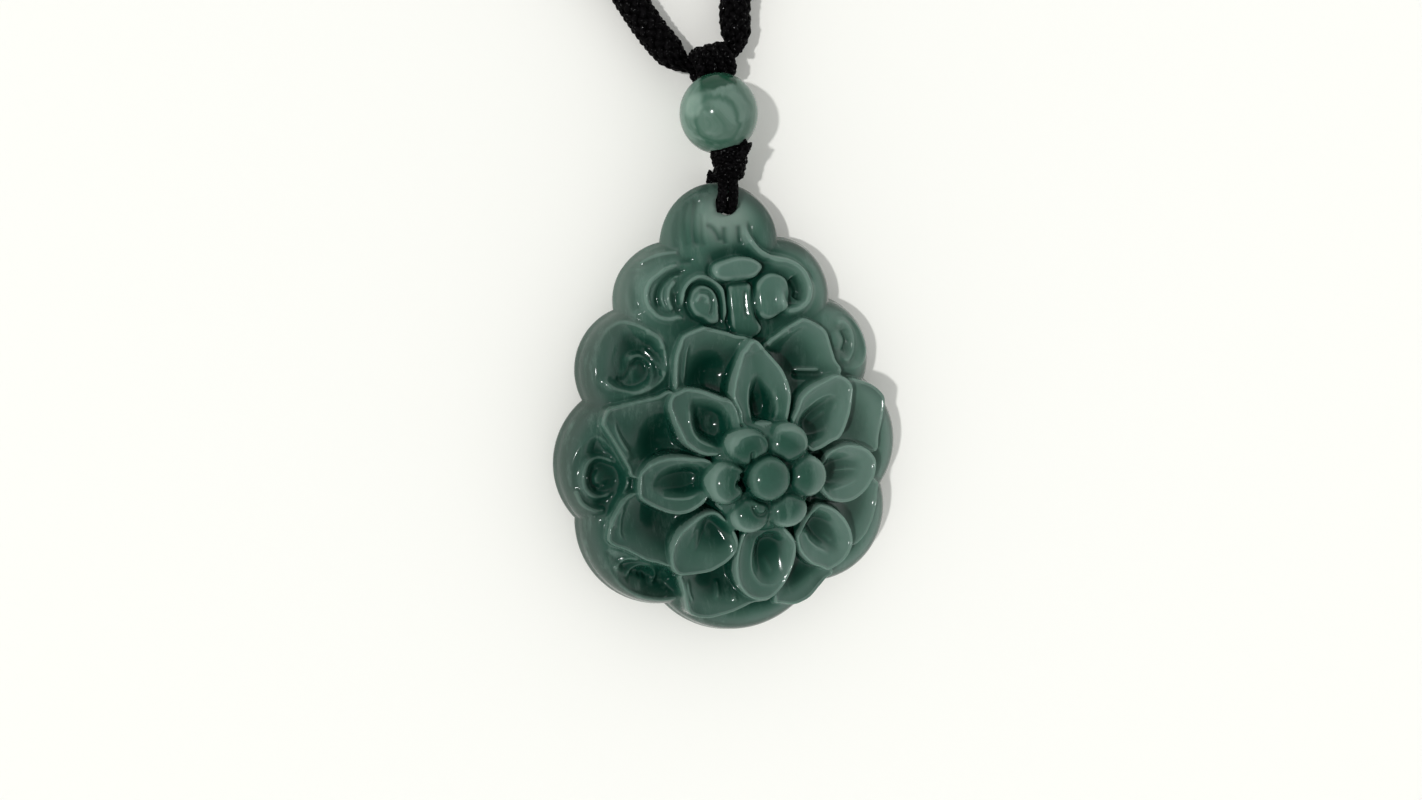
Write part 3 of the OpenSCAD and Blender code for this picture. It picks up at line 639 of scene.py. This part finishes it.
# The face is a square grid pulled to the outline; rings carry on round the side and the back
n = FACE_CELLS
steps = np.linspace(-1, 1, n + 1)
a, b = (g.ravel() for g in np.meshgrid(steps, steps))
wide = np.abs(a) > np.abs(b)
safe_a, safe_b = np.where(a == 0, 1e-9, a), np.where(b == 0, 1e-9, b)
radius = np.where(wide, a, b)
angle = np.where(wide, math.pi / 4 * b / safe_a, math.pi / 2 - math.pi / 4 * a / safe_b)
ways = np.stack([radius * np.cos(angle), radius * np.sin(angle)], 1)
share = np.linalg.norm(ways, axis=1)
ways /= np.maximum(share, 1e-9)[:, None]
flat = CENTRE + (share * outline_reach(ways))[:, None] * ways
face_points = np.column_stack([flat, at_places(face_field, flat)])
corner = np.arange((n + 1) * (n + 1)).reshape(n + 1, n + 1)
face_quads = np.stack([corner[:-1, :-1], corner[:-1, 1:], corner[1:, 1:], corner[1:, :-1]], 2)

rim = np.concatenate([corner[0, :-1], corner[:-1, n], corner[n, :0:-1], corner[:0:-1, 0]])
rim_ways, rim_reach = ways[rim], outline_reach(ways[rim])
edge_back = back_height(CENTRE + rim_reach[:, None] * rim_ways)
edge_face = face_points[rim, 2]
rings = []
for k in range(1, SIDE_RINGS):
    down = k / SIDE_RINGS
    out = rim_reach + SIDE_BULGE * math.sin(math.pi * down)
    ring = CENTRE + out[:, None] * rim_ways
    rings.append(np.column_stack([ring, edge_face + (edge_back - edge_face) * down]))
for back_share in BACK_RINGS:
    ring = CENTRE + (back_share * rim_reach)[:, None] * rim_ways
    rings.append(np.column_stack([ring, back_height(ring)]))
ring_ids = [rim] + [len(face_points) + k * len(rim) + np.arange(len(rim)) for k in range(len(rings))]
skin = np.vstack([np.stack([upper, lower, np.roll(lower, -1), np.roll(upper, -1)], 1)
                  for upper, lower in zip(ring_ids, ring_ids[1:])])
last = ring_ids[-1]
middle_id = len(face_points) + len(rings) * len(rim)
half = len(rim) // 2
caps = np.stack([last[0::2], np.full(half, middle_id), np.roll(last, -2)[0::2], np.roll(last, -1)[0::2]], 1)
pendant_points = np.vstack([face_points] + rings + [[*CENTRE, 0]])
pendant_faces = np.vstack([face_quads.reshape(-1, 4), skin, caps])


def layered(body, layers):
    """Colours laid one over another: how much of each, and the colour."""
    for share, colour in layers:
        body = share.blend(body, (*colour, 1))
    return body


def jade_colour(start):
    hollow, crease, rim = (start.add("Attribute", {"attribute_name": name}, out=2)
                           for name in ("hollow", "crease", "rim"))
    place = start.add("TexCoord", out=3)
    cloud = place.noise(90, 4, 1.5)
    streak_place = start.add("Mapping", inputs={"Vector": place, "Rotation": (0.4, 0.2, 0.9),
                                                "Scale": (1, 0.25, 1)})
    streak = streak_place.noise(700, 5, roughness=0.7)
    from_head = place.away_from((-0.0004, 0.0208, 0.005))
    pale = 1 - (from_head + 0.002 * (cloud - 0.5)).between(0.001, 0.0044)
    sideways, upward = (start.add("SeparateXYZ", inputs={0: place}, out=k) for k in (0, 1))
    lit_side = upward.between(0.006, 0.013) * (1 - sideways.between(-0.009, 0))
    # How strong the painted shade in the hollows is
    deep, deepest = hollow.between(-0.12, 0.28), hollow.between(0.12, 0.6)
    from_balls = place.away_from((0.001, -0.0062, 0.009))
    off_balls = from_balls.between(0.0046, 0.0058)
    # Where painted light goes on raised parts
    raised = (0 - hollow).between(0, 0.5) * off_balls * (1 - rim)
    # Where painted shade falls on the left
    left_shade = (1 - sideways.between(-0.019, 0.012)) * (0.65 - 0.4 * upward.between(0.002, 0.014))
    # Where painted highlights go on narrow crests
    crest_highlight = (0 - crease).between(0.28, 0.65) * (0.5 + 0.5 * sideways.between(-0.016, 0))
    body = cloud.between(0.35, 0.68).blend((0.036, 0.092, 0.066, 1), (0.052, 0.115, 0.088, 1))
    body = layered(body, [
        # Pale stone round the hole
        (pale * 0.75, (0.25, 0.33, 0.285)),
        # Painted shade on the rim, and painted light on it at the upper left
        (rim * (0.8 - 0.7 * lit_side), (0.022, 0.04, 0.032)),
        (lit_side * 0.5 * rim, (0.15, 0.195, 0.17)),
        # Painted shade in the hollows, deep green, darkest where they are deepest
        (deep * 0.85, (0.008, 0.046, 0.03)),
        (deepest * 0.97, (0.0005, 0.027, 0.016)),
        # Painted shade on the balls, deepening towards the ring's outside, and painted light on the raised
        # parts round them
        ((1 - off_balls) * (0.25 + 0.25 * from_balls.between(0.003, 0.0042)), (0.006, 0.044, 0.028)),
        (raised * 0.5, (0.12, 0.19, 0.16)),
        # Painted shade on the left, with a painted grey reflection over it on the rim, and painted light on
        # the right
        (left_shade, (0.006, 0.036, 0.024)),
        ((1 - sideways.between(-0.014, -0.006)) * 0.35 * rim, (0.085, 0.102, 0.09)),
        (sideways.between(0.004, 0.017) * 0.45 * (1 - 0.8 * rim), (0.13, 0.2, 0.165)),
        # Milky streaks, and painted highlights on the crests
        (streak.between(0.5, 0.72) * (0.4 - 0.2 * deep), (0.11, 0.18, 0.148)),
        (crest_highlight * (0.12 + 0.4 * off_balls), (0.15, 0.225, 0.19)),
    ])
    wear = place.noise(2500, 3)
    fine = start.add("Bump", inputs={"Height": wear, "Strength": 0.04, "Distance": 0.0001})
    wave = place.noise(380, 2)
    bump = start.add("Bump", inputs={"Height": wave, "Strength": 0.12, "Distance": 0.0003, "Normal": fine})
    return {"Base Color": body, "Roughness": 0.07 + 0.1 * cloud, "Normal": bump}


STONE = {"IOR": 1.6, "Subsurface Weight": 0.2, "Subsurface Radius": (0.5, 1, 0.75)}
jade = new_finish("carved_jade", {**STONE, "Specular IOR Level": 0.15, "Subsurface Scale": 0.0008},
                  jade_colour)
pendant = new_piece("pendant_carved", pendant_points, pendant_faces, jade)

# The drilled hole, with its mouths rounded over
mouth = [(-3, 2.6), (1.2, 2.6), (1.9, 1.75), (2.3, 1.4), (2.8, HOLE_R), (4.3, HOLE_R), (4.85, 1.24),
         (5.2, 1.36), (5.7, 1.8), (9, 1.8)]


def ring_points(line, sides):
    """Rings of points round an upright axis, one for each (height, radius) of a line."""
    angles = [2 * math.pi * k / sides for k in range(sides)]
    return np.array([(r * math.cos(a), r * math.sin(a), z) for z, r in line for a in angles])


def ring_faces(rings, sides):
    """Faces between rings of points that follow one another."""
    first, k = np.arange(rings - 1)[:, None] * sides, np.arange(sides)
    turned = (k + 1) % sides
    faces = np.stack([first + k, first + turned, first + sides + turned, first + sides + k], 2)
    return faces.reshape(-1, 4)


drill = new_piece("drill", ring_points(mouth, HOLE_SIDES) + (*HOLE_AT, 0),
                  ring_faces(len(mouth), HOLE_SIDES), jade)
form = bmesh.new()
form.from_mesh(drill.data)
bmesh.ops.holes_fill(form, edges=form.edges, sides=0)
bmesh.ops.recalc_face_normals(form, faces=form.faces)
form.to_mesh(drill.data)
form.free()
cut = pendant.modifiers.new("hole", "BOOLEAN")
cut.operation, cut.solver, cut.object = "DIFFERENCE", "MANIFOLD", drill
thin = pendant.modifiers.new("thin", "DECIMATE")
thin.ratio = KEPT_TRIANGLES / sum(len(p.vertices) - 2 for p in pendant.data.polygons)
finished = bpy.data.meshes.new_from_object(pendant.evaluated_get(bpy.context.evaluated_depsgraph_get()))
pendant.modifiers.clear()
pendant.data = finished
bpy.data.objects.remove(drill)

corners = np.zeros(len(finished.vertices) * 3)
finished.vertices.foreach_get("co", corners)
corners = corners.reshape(-1, 3) / MM
on_face = np.abs(at_places(face_field, corners) - corners[:, 2]) < 0.3
for name, field, on_sides in (("hollow", hollow_field, 0), ("crease", crease_field, 0),
                              ("rim", rim_field, 1)):
    values = np.where(on_face, at_places(field, corners), on_sides)
    finished.attributes.new(name, "FLOAT", "POINT").data.foreach_set("value", values.astype(np.float32))
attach(pendant, "root")
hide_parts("pendant")


# Bead. A round bead of greyer jade, drilled through and polished, with the mouths of the bore
# rounded. The doubled thin cord runs through it.
BEAD_AT, BEAD_R, BEAD_BORE_R = (-0.1, 31.35, 4.06), 4.08, 1.05
BEAD_SIDES, BEAD_RINGS = 128, 72
MOUTH_R = 1.4

open_angle = math.asin(MOUTH_R / BEAD_R)
bead_line = [(BEAD_R * math.cos(t), BEAD_R * math.sin(t))
             for t in np.linspace(open_angle, math.pi - open_angle, BEAD_RINGS)]
mouth_end = BEAD_R * math.cos(open_angle)
bore_line = [(mouth_end + 0.02, 1.22), (mouth_end - 0.04, 1.09), (mouth_end - 0.16, 1.02),
             (mouth_end - 0.4, BEAD_BORE_R), (0, BEAD_BORE_R)]
bead_line += [(-along, r) for along, r in bore_line] + bore_line[-2::-1]
bead_points = ring_points(bead_line, BEAD_SIDES)[:, [0, 2, 1]] + BEAD_AT
bead_faces = ring_faces(len(bead_line) + 1, BEAD_SIDES)[:, [0, 3, 2, 1]] % len(bead_points)


def bead_colour(start):
    place = start.add("TexCoord", out=3)
    cloud = place.noise(200, 4, 1.6)
    to_patch = place.away_from((-0.001, 0.0346, 0.0063))
    to_front = place.away_from((-0.0014, 0.0301, 0.0077))
    to_left = place.away_from((-0.0036, 0.0318, 0.006))
    body = cloud.between(0.36, 0.62).blend((0.06, 0.118, 0.088, 1), (0.122, 0.19, 0.155, 1))
    off_vein = to_front - 0.0023 + 0.0024 * (cloud - 0.5)
    vein = 1 - off_vein.maths("ABSOLUTE", off_vein).between(0, 0.0005)
    # A painted reflection, pale, on the bead's left
    light = 1 - (to_left + 0.002 * (cloud - 0.5)).between(0.0007, 0.0015)
    # A painted dark reflection of the knot on the bead's top
    knot_reflection = 1 - (to_patch + 0.003 * (cloud - 0.5)).between(0.0016, 0.0022)
    body = layered(body, [(vein * 0.6, (0.022, 0.075, 0.048)), (light * 0.5, (0.22, 0.31, 0.26)),
                          (knot_reflection * 0.92, (0.003, 0.04, 0.02))])
    return {"Base Color": body, "Roughness": 0.1 + 0.08 * cloud}


bead_jade = new_finish("bead_jade", {**STONE, "Specular IOR Level": 0.12, "Subsurface Scale": 0.001},
                       bead_colour)
bead = new_piece("bead_round", bead_points, bead_faces, bead_jade)
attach(bead, "root")
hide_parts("bead")


# Neck cord. A round braided cord of near-black nylon, sixteen flat strands over a core, laid
# out as the whole worn loop. It is gripped narrow inside the top knot.
NECK_ROUTE = [
    (-0.2, 291, 2.8), (-7, 291, 2.8), (-16, 290, 2.1), (-27, 287, 1.85), (-50, 276, 1.75),
    (-71, 257, 1.75), (-84, 231, 1.75), (-86, 202, 1.75), (-80, 172, 1.75), (-68, 142, 1.75),
    (-53, 114, 1.75), (-37, 88, 1.75), (-22, 65, 1.75), (-12.6, 51, 1.75), (-8.8, 44.2, 1.75),
    (-6.5, 40.6, 1.75), (-4.8, 38.5, 1.8), (-3.6, 37.3, 1.9), (-2.4, 36.7, 2), (-1.1, 36.8, 2),
    (0.2, 37.1, 2), (1.4, 37.5, 2), (2.4, 38.2, 2), (3, 39.3, 1.9), (3.1, 40.9, 1.8), (3.3, 43.6, 1.75),
    (5.8, 53, 1.75), (14, 69, 1.75), (30, 91, 1.75), (48, 116, 1.75), (65, 144, 1.75), (78, 173, 1.75),
    (85, 203, 1.75), (82, 233, 1.75), (69, 259, 1.75), (48, 277, 1.75), (27, 287, 1.85), (16, 290, 2.1),
    (7, 291, 2.8), (0.2, 291, 2.8),
]
GRIP_FROM, GRIP_TO, GRIP_FADE, GRIP_SHARE = 18, 22, 2, 0.5
HALF_WAY = 20
NECK_PAIRS, NECK_R, NECK_FLAT, NECK_WEAVE, NECK_PITCH, NECK_STEPS = 8, 1.42, 0.2, 0.13, 10.5, 44
NECK_CORE_R, STRAND_SIDES, CORE_SIDES, CORE_STEP, STRAND_FILL = NECK_R - 0.12, 4, 10, 4, 0.98


def along_line(route, step):
    """A smooth line cut into equal steps, with two directions across it that don't spin, and
    the place of each point counted in points of the route."""
    line = smooth_line(route)
    counted = np.linspace(0, len(route) - 1, len(line))
    travelled = np.concatenate([[0], np.cumsum(np.linalg.norm(np.diff(line, axis=0), axis=1))])
    at = np.linspace(0, travelled[-1], max(int(travelled[-1] / step), 4) + 1)
    points = np.stack([np.interp(at, travelled, line[:, k]) for k in range(3)], 1)
    tangents = np.gradient(points, axis=0)
    tangents /= np.linalg.norm(tangents, axis=1)[:, None]
    across = np.zeros_like(points)
    side_way = np.cross(tangents[0], (0.13, 0.07, 1))
    for i, tangent in enumerate(tangents):
        side_way = side_way - tangent * (side_way @ tangent)
        side_way /= np.linalg.norm(side_way)
        across[i] = side_way
    return points, across, np.cross(tangents, across), at, np.interp(at, travelled, counted)


def tube(points, across, up, half_wide, half_thick, sides):
    """Points and faces of a tube of oval section, whose sizes may change along it. A strand is
    closed at its ends. A core, which has more sides, is hidden and stays open."""
    count = len(points)
    around = 2 * np.pi * np.arange(sides) / sides
    half_wide, half_thick = (np.broadcast_to(v, count)[:, None, None] for v in (half_wide, half_thick))
    ring = (points[:, None] + across[:, None] * np.cos(around)[:, None] * half_wide
            + up[:, None] * np.sin(around)[:, None] * half_thick)
    faces = ring_faces(count, sides)
    if sides == STRAND_SIDES:
        last = (count - 1) * sides
        faces = np.vstack([faces, [[3, 2, 1, 0]], [[last, last + 1, last + 2, last + 3]]])
    return ring.reshape(-1, 3), faces


def joined(parts):
    """Several tubes' points and faces as one."""
    points, faces, base = [], [], 0
    for got, more in parts:
        points.append(got)
        faces.append(more + base)
        base += len(got)
    return np.vstack(points), np.vstack(faces)


def braid(route, pairs, mean_r, flat, weave, pitch, turn_steps, core_r, shrink=None):
    """A braided cord: strands that circle both ways and pass over one, under one, and a core."""
    points, across, up, at, counted = along_line(route, pitch / turn_steps)
    size_here = np.ones(len(points)) if shrink is None else shrink(counted)
    tubes = []
    turn_rate = 2 * np.pi / pitch
    lean = math.atan(2 * np.pi * mean_r / pitch)
    half_wide = np.pi * mean_r / pairs * math.cos(lean) * STRAND_FILL
    for hand in (1, -1):
        wave = hand * weave * np.cos(pairs * turn_rate * at)
        for strand in range(pairs):
            angle = hand * turn_rate * at + 2 * np.pi * strand / pairs
            out = across * np.cos(angle)[:, None] + up * np.sin(angle)[:, None]
            centre = points + out * ((mean_r + wave) * size_here)[:, None]
            forward = np.gradient(centre, axis=0)
            forward /= np.linalg.norm(forward, axis=1)[:, None]
            sideways = np.cross(forward, out)
            sideways /= np.linalg.norm(sideways, axis=1)[:, None]
            tubes.append(tube(centre, sideways, np.cross(sideways, forward), half_wide * size_here,
                              flat * size_here, STRAND_SIDES))
    coarse = slice(None, None, CORE_STEP)
    core_size = core_r * size_here[coarse]
    tubes.append(tube(points[coarse], across[coarse], up[coarse], core_size, core_size, CORE_SIDES))
    return joined(tubes)


def grip(counted):
    held = ease(counted, GRIP_FROM - GRIP_FADE, GRIP_FROM)
    held *= 1 - ease(counted, GRIP_TO, GRIP_TO + GRIP_FADE)
    return 1 - (1 - GRIP_SHARE) * held


def black_nylon(start):
    place = start.add("TexCoord", out=3)
    fibre = place.noise(5000, 3)
    lint = place.noise(1800, 2)
    shade = lint.between(0.45, 0.75).blend((0.0012, 0.001, 0.0012, 1), (0.004, 0.0035, 0.004, 1))
    return {"Base Color": shade, "Roughness": 0.4 + 0.3 * lint, "Coat Weight": fibre.between(0.62, 0.68),
            "Normal": start.add("Bump", inputs={"Height": fibre, "Strength": 0.6, "Distance": 0.00007})}


nylon = new_finish("black_nylon", {"IOR": 1.4, "Specular IOR Level": 0.03, "Coat Roughness": 0.2},
                   black_nylon)
for name, first_point, route in (("neck_cord_left", 0, NECK_ROUTE[:HALF_WAY + 1]),
                                 ("neck_cord_right", HALF_WAY, NECK_ROUTE[HALF_WAY:])):
    points, faces = braid(route, NECK_PAIRS, NECK_R, NECK_FLAT, NECK_WEAVE, NECK_PITCH, NECK_STEPS,
                          NECK_CORE_R, lambda counted: grip(counted + first_point))
    neck = new_piece(name, points, faces, nylon)
    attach(neck, "root")
    if name == "neck_cord_left":
        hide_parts("neck_cord")


# Thin cord. A finer black braid. It is doubled through the bead and the hole, and wound in
# tight turns for the three knots, whose cut ends stick out a little.
THIN_R, THIN_FLAT, THIN_WEAVE, THIN_PITCH, THIN_STEPS, THIN_PAIRS = 0.42, 0.11, 0.05, 2.6, 24, 4
THIN_CORE_R, TURN_POINTS = 0.36, 12
HANGING_ROUTE = [
    (-0.1, 35.3, 3.9), (-0.1, 33.5, 3.9), (-0.1, 31.3, 3.9), (-0.1, 29.3, 3.9), (0, 27.6, 3.9),
    (0.2, 26.2, 4.1), (0.3, 25, 4.6), (0.1, 24.2, 5.2), (-0.1, 23.2, 5.7), (-0.2, 22.3, 5.65),
    (-0.2, 21.65, 5.1), (-0.15, 21.6, 4), (-0.1, 21.8, 3), (0, 22, 2.2), (0, 22.4, 1.5), (0, 22.9, 1.05),
    (0.1, 23.7, 0.9), (0.2, 25, 0.9), (0.3, 25.8, 1.1),
]
LEG_APART = [0.42] * 5 + [0.45, 0.52, 0.56, 0.58, 0.58, 0.56] + [0.55] * 4 + [0.5, 0.45, 0.45, 0.4]


def thin_braid(route, thickness=1, turn_steps=THIN_STEPS):
    return braid(route, THIN_PAIRS, THIN_R * thickness, THIN_FLAT * thickness, THIN_WEAVE * thickness,
                 THIN_PITCH, turn_steps, THIN_CORE_R * thickness)


def winding(centre, axis_slant, axis_rise, length, start_r, end_r, turns, wander):
    """The route of a cord wound round a knot's axis, a little unevenly."""
    axis = Matrix.Rotation(axis_slant, 3, "Z") @ Vector((math.cos(axis_rise), 0, math.sin(axis_rise)))
    level = Vector((-axis.y, axis.x, 0)).normalized()
    up = axis.cross(level)
    route = []
    count = int(turns * TURN_POINTS)
    for i in range(count + 1):
        t = i / count
        a = 2 * math.pi * turns * t + 0.6
        r = start_r + (end_r - start_r) * t
        along = length * (t - 0.5) + wander * math.sin(2.1 * a + 1.3) + wander * math.sin(a)
        r += 0.5 * wander * math.sin(1.7 * a)
        point = Vector(centre) + axis * along + level * r * math.cos(a) + up * r * math.sin(a)
        route.append(tuple(point))
    return route


legs = [thin_braid([(x + side * apart, y, z) for (x, y, z), apart in zip(HANGING_ROUTE, LEG_APART)])
        for side in (-1, 1)]
hanging = new_piece("hanging_loop", *joined(legs), nylon)
top_turns = winding((0.1, 36.8, 2.3), math.radians(16), 0, 4.4, 1.55, 1.35, 4, 0.08)
top_end = [(2, 38.2, 3), (2.6, 38.3, 3.1), (3.1, 38.1, 3)]
top = new_piece("top_knot_turns", *joined([thin_braid(top_turns, 1.08), thin_braid(top_end, 0.8)]), nylon)
lower_turns = winding((0.75, 26.1, 4.15), math.radians(-97), math.radians(8), 2.6, 1.6, 0.95, 3.4, 0.06)
lower_ends = [thin_braid([(0.7, 26.4, 5.3), (1.3, 26.9, 5.6), (1.8, 27.4, 5.8), (2.2, 28.1, 5.8)], 1.15),
              thin_braid([(0.1, 26, 5.2), (-0.6, 25.4, 5.5), (-1.5, 24.7, 5.4)], 0.6)]
lower = new_piece("lower_knot_turns", *joined([thin_braid(lower_turns)] + lower_ends), nylon)
closing_turns = winding((0, 291, 2.8), 0, 0, 10.9, 2.25, 2.25, 11, 0.04)
closing = new_piece("closing_knot_turns", *thin_braid(closing_turns, 1, 14), nylon)
for piece, node in ((hanging, "hanging_cord"), (top, "top_knot"), (lower, "lower_knot"),
                    (closing, "closing_knot")):
    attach(piece, "root")
    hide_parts(node)
